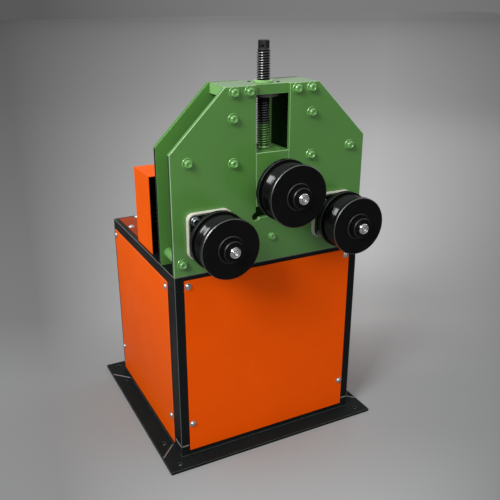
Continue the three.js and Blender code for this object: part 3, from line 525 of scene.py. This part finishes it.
# Bolts through the gearbox's feet and the shelf under it, with their nuts below
SHELF_BOTTOM = 370.8
FOOT_TOP = 389.1
FOOT_BOLT_X = 76
FOOT_BOLT_Y = (262.0, 302.0)
FOOT_HEAD = 6.4
FOOT_NUT = 8
shank = [(0.2, 0), (5, 0), (5, FOOT_TOP - SHELF_BOTTOM)]
foot_bolts = Shape()
for x in (-FOOT_BOLT_X, FOOT_BOLT_X):
    for y in FOOT_BOLT_Y:
        head = (x, y, FOOT_TOP + LIFT)
        nut = (x, y, SHELF_BOTTOM - LIFT)
        hex_head(foot_bolts, head, UP, SMALL_FLATS, FOOT_HEAD, SMALL_WASHER, SMALL_WASHER_THICK)
        rings(foot_bolts, (x, y, SHELF_BOTTOM), UP, shank, 16)
        hex_head(foot_bolts, nut, DOWN, SMALL_FLATS, FOOT_NUT, SMALL_WASHER, SMALL_WASHER_THICK)
piece("gearbox_bolts", foot_bolts.mesh("gearbox_bolts"), ZINC, "stand")

# Domed panel screws with a small dip in the top, seated on the sheets

SHEET_OUT = 2.3
STAND_DEPTH = 520
STAND_HALF = 275
COVER_TOP = 552.3
FRONT_SCREW_X = 240
FRONT_SCREW_HEIGHTS = (522, 109)
SIDE_SCREW_HEIGHTS = (505, 109)
SIDE_SCREW_Y = (62, 495)
COVER_SCREWS = ((252, 415), (207, 497))
DOME_RADIUS = 7.6
DOME_HEIGHT = 4.4
DOME_SEAT = 1.3


def dome_screw(shape, place, direction):
    profile = [(DOME_RADIUS + 2.2, 0), (DOME_RADIUS + 2.2, 0.9), (DOME_RADIUS + 1.6, DOME_SEAT),
               (DOME_RADIUS, DOME_SEAT)]
    for step in range(1, 7):
        angle = step / 7 * math.pi / 2
        profile.append((DOME_RADIUS * math.cos(angle), DOME_SEAT + DOME_HEIGHT * math.sin(angle)))
    profile += [(1.2, DOME_SEAT + DOME_HEIGHT), (0.9, DOME_HEIGHT - 1.0), (0.1, DOME_HEIGHT - 1.4)]
    rings(shape, place, direction, profile, 20)


screws = Shape()
for _, side in SIDES:
    for z in FRONT_SCREW_HEIGHTS:
        dome_screw(screws, (side * FRONT_SCREW_X, -SHEET_OUT, z), FRONT)
        dome_screw(screws, (side * FRONT_SCREW_X, STAND_DEPTH + SHEET_OUT, z), REAR)
    for z in SIDE_SCREW_HEIGHTS:
        for y in SIDE_SCREW_Y:
            dome_screw(screws, (side * (STAND_HALF + SHEET_OUT), y, z), (side, 0, 0))
    for x, y in COVER_SCREWS:
        dome_screw(screws, (side * x, y, COVER_TOP), UP)
piece("panel_screws", screws.mesh("panel_screws"), ZINC, "stand")

# Rollers, their nuts and shaft ends

ROLLER_BACK = -56
NUT_SEAT = -132.8
SHAFT_NOSE = -155.8


def on_face(middle, normal):
    return abs(normal.y) > 0.95


def roller(name, x, z, radius, body):
    """Two flanges and a drum on a bore, with a narrow neck behind the rear flange."""
    drum = radius - 5.5
    neck = radius - 10
    profile = [
        (21, 0), (radius - 1.6, 0, True), (radius, 1.6, True), (radius, 13, True), (neck, 13),
        (neck, 17), (drum, 17, True), (drum, 27), (drum, 63), (radius - 0.8, 63), (radius, 63.8),
        (radius, 73.4), (radius - 1.6, 75), (34, 75), (33, 75.6), (32, 76.5, True), (21, 76.5),
    ]
    shape = Shape()
    rings(shape, (x, ROLLER_BACK, z), FRONT, rounded(profile, 0.7), 96)

    def away(middle):
        return math.hypot(middle.x - x, middle.z - z)

    def on_rim(middle, normal):
        return away(middle) > radius - 1.7 and 0.2 < abs(normal.y) < 0.95

    def on_drum(middle, normal):
        behind = ROLLER_BACK - 27 + SHIFT_Y
        return drum - 1 < away(middle) < drum + 1 and middle.y < behind and abs(normal.y) < 0.2

    def on_boss(middle, normal):
        return 30 < away(middle) < 35 and 0.1 < abs(normal.y) < 0.95

    looks = ((WORN, on_rim), (FACE, on_face), (DRUM, on_drum), (DARK, on_boss))
    smooth = piece(name + "_smooth", shape.mesh(name), ROLLER, body, 25, looks)
    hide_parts(name)


def roller_nut(name, x, z, body):
    profile = [
        (14.5, 0), (26, 0, True), (26, 13.4, True), (24.4, 15, True), (19, 15), (18.4, 14.2), (14.5, 14.2),
    ]
    shape = Shape()
    rings(shape, (x, NUT_SEAT, z), FRONT, rounded(profile, 0.6), 64)

    def on_chamfer(middle, normal):
        return math.hypot(middle.x - x, middle.z - z) > 23 and 0.3 < abs(normal.y) < 0.95

    looks = ((DARK, on_chamfer), (FACE, on_face))
    smooth = piece(name + "_smooth", shape.mesh(name), ROLLER, body, 25, looks)
    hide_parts(name)


def shaft(name, x, z, collar, collar_back, rear, body):
    """Ground shaft with a chamfered nose, a centre hole and a collar behind the roller."""
    end = rear - SHAFT_NOSE
    profile = [
        (0.1, 6), (2.6, 5), (3.2, 2.2), (5.4, 0.5), (7.4, 0), (8.6, 0.3), (9.6, 1.3), (10.6, 1.3),
        (11.4, 0.7), (12.8, 1.1), (13.7, 2.4), (14, 4.2), (14, 26), (20, 26),
        (20, 100.1), (collar, 100.1, True), (collar, collar_back - SHAFT_NOSE, True),
        (20, collar_back - SHAFT_NOSE), (20, end - 1.5), (18.5, end), (0.1, end),
    ]
    shape = Shape()
    rings(shape, (x, SHAFT_NOSE, z), REAR, rounded(profile, 0.8), 48)
    smooth = piece(name + "_smooth", shape.mesh(name), STEEL, body, 25)
    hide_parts(name)


AXES = {"left": (-LOWER_AXIS[0], LOWER_AXIS[1]), "right": LOWER_AXIS, "top": (0, TOP_AXIS_Z)}
LOWER_SHAFT = (27, -47.9, 221)
TOP_SHAFT = (30, -0.5, 120)

for name, radius in (("left", 75), ("right", 75), ("top", 77.5)):
    roller(name + "_roller", *AXES[name], radius, name + "_roller_shaft")
    roller_nut(name + "_roller_nut", *AXES[name], name + "_roller_shaft")

for name, sizes in (("left", LOWER_SHAFT), ("right", LOWER_SHAFT), ("top", TOP_SHAFT)):
    shaft(name + "_shaft", *AXES[name], *sizes, name + "_roller_shaft")

# Lead screw with its trapezoid thread

SCREW_Y = 53
SCREW_FOOT = 809
THREAD_START = 848
THREAD_END = 1080
PITCH = 6.0
CREST = 17
ROOT_RADIUS = 13.9
NOSE_RADIUS = 14


def thread(shape, x, y, low, high, crest, root, steps=40):
    """Closed helical surface of a trapezoid thread between two heights."""
    section = [(root, 0.0), (crest, 0.12), (crest, 0.38), (crest - 0.7, 0.55), (root, 0.68)]
    turns = int((high - low) / PITCH) + 2
    columns = []
    for step in range(steps + 1):
        angle = 2 * math.pi * step / steps
        column = []
        for turn in range(-1, turns):
            for radius, part in section:
                z = low + (turn + part + step / steps) * PITCH
                inside = low < z < high
                far = radius if inside else root
                height = min(max(z, low), high)
                column.append((x + far * math.cos(angle), y + far * math.sin(angle), height))
        columns.append(column)
    points = [point for column in columns for point in column]
    rows = len(columns[0])
    faces = []
    for step in range(steps):
        for row in range(rows - 1):
            first = step * rows + row
            faces.append((first, first + rows, first + rows + 1, first + 1))
    shape.add(points, faces)


screw = Shape()
rings(screw, (0, SCREW_Y, SCREW_FOOT), UP,
      [(0.1, 0), (CREST, 0), (CREST, 23.7), (12, 23.7), (12, 32.6), (CREST - 1.5, 32.6),
       (CREST, 34.1), (CREST, THREAD_START - SCREW_FOOT)], 40)
thread(screw, 0, SCREW_Y, THREAD_START, THREAD_END, CREST, ROOT_RADIUS)
rings(screw, (0, SCREW_Y, THREAD_END), UP,
      [(ROOT_RADIUS, 0), (16.2, 1.2), (15, 3), (NOSE_RADIUS, 4), (NOSE_RADIUS, 22.6), (12.4, 24.3),
       (2.5, 24.3), (1.6, 22), (0.1, 21)], 40)


def in_thread_root(middle, normal):
    away = math.hypot(middle.x, middle.y - SCREW_Y - SHIFT_Y)
    return THREAD_START < middle.z < THREAD_END and away < CREST - 0.8


def on_nose(middle, normal):
    return middle.z > THREAD_END + 2


screw_piece = piece("lead_screw_threaded", screw.mesh("lead_screw_threaded"), SPRAYED, "screw", 30,
                    ((THREAD_ROOT_OIL_AND_SHADE, in_thread_root), (DARK, on_nose)))
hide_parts("lead_screw")

# Both mouths of the cross hole in the screw's nose, as dark discs just proud of it: painted shade where the
# hole's depth would be
HOLE_WAY = (-0.63, -0.777, 0)
HOLE_HEIGHT = 1091.5
HOLE_RADIUS = 3.9
hole_shade_discs = Shape()
for sign in (-1, 1):
    way = [sign * part for part in HOLE_WAY]
    mouth = [part * (NOSE_RADIUS - LIFT) for part in way]
    rings(hole_shade_discs, (mouth[0], SCREW_Y + mouth[1], HOLE_HEIGHT), way,
          [(HOLE_RADIUS, -1.4), (HOLE_RADIUS, 0.1), (HOLE_RADIUS - 0.3, 0.3), (0.1, 0.3)], 20)
piece("screw_cross_hole_shade", hole_shade_discs.mesh("screw_cross_hole_shade"), FACE, "screw")

# Socket screws that hold the lead nut's flange to the crossbar, sunk flush in its top


def socket_screw(shape, place, direction, radius, height):
    profile = [(radius, 0), (radius, height - 0.6), (radius - 0.6, height), (radius * 0.55, height),
               (radius * 0.5, height - 0.5), (radius * 0.5, height - 3), (0.1, height - 3)]
    rings(shape, place, direction, profile, 20)


CROSSBAR_TOP = 1005.3
NUT_SCREWS = ((-31, 71), (31, 35))
nut_screws = Shape()
for x, y in NUT_SCREWS:
    socket_screw(nut_screws, (x, y, CROSSBAR_TOP - 0.5), UP, 4.2, 1.6)
piece("nut_screws", nut_screws.mesh("nut_screws"), FACE, "stand")

# Weld beads at the stand's joints and along the base's mitres


def bead(shape, start, end, out, width, height):
    """Rippled half-round strip from start to end that stands out of the face."""
    start, end, out = Vector(start), Vector(end), Vector(out)
    along = (end - start).normalized()
    across = along.cross(out).normalized()
    count = max(2, int((end - start).length / 1.5))
    columns = 7
    points = []
    for index in range(count + 1):
        middle = start.lerp(end, index / count)
        swell = 1 + 0.18 * math.sin(index * 2.1) + 0.1 * math.sin(index * 0.9)
        fade = min(1, index / 2, (count - index) / 2)
        for column in range(columns):
            turn = math.pi * column / (columns - 1)
            reach = across * math.cos(turn) * width / 2 * (0.7 + 0.3 * fade)
            points.append(middle + reach + out * (math.sin(turn) * height * swell * fade - 0.1))
    faces = []
    for index in range(count):
        for column in range(columns - 1):
            low = index * columns + column
            faces.append((low, low + 1, low + columns + 1, low + columns))
    shape.add(points, faces)


FLANGE_TOP = 8
WELD_WIDTH = 5
WELD_HEIGHT = 1.6
MITRE_HEIGHT = 1.1
base_welds = Shape()
top_welds = Shape()
for _, side in SIDES:
    for y, out in ((0, FRONT), (STAND_DEPTH, REAR)):
        inward = 1 if y == 0 else -1
        for welds, z in ((base_welds, 40), (top_welds, 510)):
            bead(welds, (side * 252.5, y, z), (side * 274, y, z), out, WELD_WIDTH, WELD_HEIGHT)
            start = (side * STAND_HALF, y + inward * 2, z)
            stop = (side * STAND_HALF, y + inward * 46, z)
            bead(welds, start, stop, (side, 0, 0), WELD_WIDTH, WELD_HEIGHT)
        outer = (side * 322, y + inward * 19, FLANGE_TOP)
        inner = (side * 277, y + inward * 64.2, FLANGE_TOP)
        bead(base_welds, outer, inner, UP, WELD_WIDTH, MITRE_HEIGHT)
# The base's beads take the light edge paint: bare steel and a painted highlight
piece("base_welds", base_welds.mesh("base_welds"), BARE_AND_HIGHLIGHT, "stand", 60)
piece("top_welds", top_welds.mesh("top_welds"), BLACK, "stand", 60)

# Camera at the photograph's place

CAMERA_TURN = 27.05
lens = bpy.data.cameras.new("camera")
lens.lens = 47.58
lens.sensor_width = 36
lens.shift_x = 0.0071
lens.shift_y = 0.0053
camera = bpy.data.objects.new("camera", lens)
camera.location = at(-796.8, -1415.1, 1215.6)
camera.rotation_euler = (math.radians(68.30), 0, math.radians(-CAMERA_TURN))
bpy.context.scene.collection.objects.link(camera)
bpy.context.scene.camera = camera
bpy.context.scene.view_settings.view_transform = "Standard"

# Light and floor


def area_light(name, place, target, width, height, power):
    data = bpy.data.lights.new(name, "AREA")
    data.shape = "RECTANGLE"
    data.size = width
    data.size_y = height
    data.energy = power
    light = bpy.data.objects.new(name, data)
    light.location = place
    light.rotation_euler = (Vector(target) - Vector(place)).to_track_quat("-Z", "Y").to_euler()
    bpy.context.scene.collection.objects.link(light)


HORIZON = 0.195
OVERHEAD = 1.1

area_light("key", (-3.3, -1.9, 3.5), (0, 0, 0.6), 1.6, 1.8, 225)
area_light("side", (-3.4, 1.6, 2.6), (0, 0, 0.4), 1.6, 1.6, 26)
area_light("front", (-0.6, -3.8, 2.0), (0, 0, 0.5), 2.4, 1.6, 24)
area_light("right", (4.2, 1.2, 2.6), (0.9, 0.3, 0), 2.0, 2.0, 32)
area_light("back", (2.6, 4.4, 2.4), (0, 0, 0.8), 3.0, 2.0, 5)

# The studio wall is dim at the horizon, least where the pool of light ends, and bright overhead
world = bpy.data.worlds.new("studio")
world.use_nodes = True
sky = world.node_tree.nodes
joins = world.node_tree.links
direction = sky.new("ShaderNodeTexCoord").outputs["Generated"]
parts = sky.new("ShaderNodeSeparateXYZ")
joins.new(direction, parts.inputs["Vector"])
toward_pool = sky.new("ShaderNodeVectorMath")
toward_pool.operation = "DOT_PRODUCT"
toward_pool.inputs[1].default_value = (0.558, 0.83, 0)
joins.new(direction, toward_pool.inputs[0])


def sky_ramp(value, low, high, start, end):
    node = sky.new("ShaderNodeMapRange")
    node.inputs["From Min"].default_value = low
    node.inputs["From Max"].default_value = high
    node.inputs["To Min"].default_value = start
    node.inputs["To Max"].default_value = end
    joins.new(value, node.inputs["Value"])
    return node.outputs["Result"]


blend = sky.new("ShaderNodeMix")
joins.new(sky_ramp(parts.outputs["Z"], 0, 1, 0, 1), blend.inputs["Factor"])
joins.new(sky_ramp(toward_pool.outputs["Value"], 0.92, 1, HORIZON / 2, HORIZON), blend.inputs["A"])
blend.inputs["B"].default_value = OVERHEAD
sky["Background"].inputs["Color"].default_value = (1, 1, 1, 1)
joins.new(blend.outputs["Result"], sky["Background"].inputs["Strength"])
bpy.context.scene.world = world

FLOOR_HALF = 30
floor_mesh = bpy.data.meshes.new("floor")
corners = [(x * FLOOR_HALF, y * FLOOR_HALF, 0) for x, y in ((-1, -1), (1, -1), (1, 1), (-1, 1))]
floor_mesh.from_pydata(corners, [], [(0, 1, 2, 3)])
floor = bpy.data.objects.new("floor", floor_mesh)
bpy.context.scene.collection.objects.link(floor)


def pool_of_light(paint):
    """Depth on the floor ahead of the camera, and how far off its middle line a place lies, as a slope."""
    mapping = paint.nodes.new("ShaderNodeMapping")
    mapping.inputs["Rotation"].default_value = (0, 0, math.radians(CAMERA_TURN))
    mapping.inputs["Location"].default_value = (-0.028, 1.807, 0)
    paint.links.new(paint.where, mapping.inputs["Vector"])
    split = paint.nodes.new("ShaderNodeSeparateXYZ")
    paint.links.new(mapping.outputs["Vector"], split.inputs["Vector"])
    spread = paint.nodes.new("ShaderNodeMath")
    spread.operation = "DIVIDE"
    paint.links.new(split.outputs["X"], spread.inputs[0])
    paint.links.new(split.outputs["Y"], spread.inputs[1])
    return split.outputs["Y"], spread.outputs["Value"]


FLOOR_GREY = (0.131, 0.131, 0.131)
POOL_GREY = (0.395, 0.395, 0.395)
FAR_GREY = (0.0, 0.0, 0.0)
NEAR_GREY = (0.178, 0.187, 0.188)
POOL_FRONT_GREY = (0.255, 0.268, 0.27)
BEHIND_CAMERA_GREY = (0.2, 0.2, 0.2)
# The floor's tones are painted light and shade: a painted pool of light ahead of the camera, darker far
# off, and set greys near the stand and behind the camera
floor_paint = Paint("floor_grey", FLOOR_GREY, 0.7)
floor_paint.mirror(0.1)
depth, spread = pool_of_light(floor_paint)
in_pool = floor_paint.times(floor_paint.ramp(spread, -0.351, -0.05), floor_paint.ramp(spread, 0.497, 0.201))
floor_paint.tint(in_pool, POOL_GREY)
floor_paint.tint(floor_paint.ramp(depth, 6.0, 30.0, 0.0, 0.42), FAR_GREY)
floor_paint.tint(floor_paint.ramp(depth, 2.35, 1.9, 0.0, 0.75), NEAR_GREY)
in_front = floor_paint.times(floor_paint.ramp(depth, 1.65, 1.35), in_pool)
floor_paint.tint(in_front, POOL_FRONT_GREY)
floor_paint.tint(floor_paint.ramp(depth, 1.25, 0.6), BEHIND_CAMERA_GREY)
floor_mesh.materials.append(floor_paint.material)
